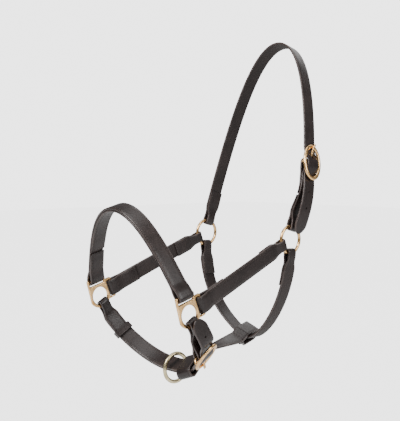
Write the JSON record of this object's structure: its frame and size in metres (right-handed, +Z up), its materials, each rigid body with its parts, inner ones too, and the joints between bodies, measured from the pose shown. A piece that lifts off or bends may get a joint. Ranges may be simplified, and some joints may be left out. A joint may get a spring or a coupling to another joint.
{
  "type": "leather horse headcollar",
  "caption": "Leather headcollar for a horse, with brass rings, square dees, buckles and a lead ring, in the shape it has when it is worn.",
  "frame": {"origin": "the poll: the middle of the crown strap's underside, on the headcollar's centre plane", "axes": "+Z up, -Y towards the horse's nose, +X towards the horse's near (left) side"},
  "size_m": [0.1982, 0.3113, 0.4563],
  "materials": {
    "leather": "smooth dark havana bridle leather",
    "lining_leather": "softer dark brown leather",
    "brass": "polished, warm",
    "pale_brass": "duller and paler than the other fittings"
  },
  "bodies": {
    "head_straps": {"noseband": "leather", "noseband_lining": "lining_leather", "near_cheek_strap": "leather", "far_cheek_strap": "leather", "near_square_dee": "brass", "far_square_dee": "brass", "throat_strap": "leather", "jaw_stay": "leather", "chin_strap": "leather", "chin_strap_lining": "lining_leather", "chin_buckle_strap": "leather"},
    "crown": {"crown_strap": "leather", "crown_buckle_strap": "leather"},
    "near_ring": {"near_ring": "brass"},
    "far_ring": {"far_ring": "brass"},
    "lead_ring": {"lead_ring": "pale_brass"},
    "chin_keeper": {"chin_keeper": "leather"},
    "crown_buckle_frame": {"crown_buckle_frame": "brass"},
    "crown_buckle_tongue": {"crown_buckle_tongue": "brass"},
    "chin_buckle_frame": {"chin_buckle_frame": "brass"},
    "chin_buckle_tongue": {"chin_buckle_tongue": "brass"}
  },
  "joints": [
    {"name": "crown_fold", "type": "hinge", "parent": "head_straps", "child": "crown", "pos_m": [0, -0.07152, -0.27071], "axis": [1, 0, 0], "range_deg": [-30, 40]},
    {"name": "near_ring_turn", "type": "hinge", "parent": "head_straps", "child": "near_ring", "pos_m": [0.082, -0.07152, -0.27071], "axis": [1, 0, 0], "continuous": true},
    {"name": "far_ring_turn", "type": "hinge", "parent": "head_straps", "child": "far_ring", "pos_m": [-0.082, -0.07152, -0.27071], "axis": [1, 0, 0], "continuous": true},
    {"name": "lead_ring_swing", "type": "hinge", "parent": "head_straps", "child": "lead_ring", "pos_m": [0.0103, -0.20911, -0.4278], "axis": [0, 0.866, 0.5], "range_deg": [-24, 24]},
    {"name": "keeper_slide", "type": "slide", "parent": "head_straps", "child": "chin_keeper", "axis": [0.5855, 0.4053, -0.702], "range_m": [-0.004, 0.004]},
    {"name": "crown_buckle_rock", "type": "hinge", "parent": "crown", "child": "crown_buckle_frame", "pos_m": [0.0895, -0.04496, -0.17016], "axis": [0, 0.9668, -0.2555], "range_deg": [-2, 2]},
    {"name": "crown_tongue_lift", "type": "hinge", "parent": "crown_buckle_frame", "child": "crown_buckle_tongue", "pos_m": [0.0895, -0.04496, -0.17016], "axis": [0, 0.9668, -0.2555], "range_deg": [0, 16]},
    {"name": "chin_buckle_rock", "type": "hinge", "parent": "head_straps", "child": "chin_buckle_frame", "pos_m": [0.08, -0.22686, -0.39705], "axis": [0, -0.866, -0.5], "range_deg": [-2, 2]},
    {"name": "chin_tongue_lift", "type": "hinge", "parent": "chin_buckle_frame", "child": "chin_buckle_tongue", "pos_m": [0.08, -0.22686, -0.39705], "axis": [0, -0.866, -0.5], "range_deg": [0, 16]}
  ]
}
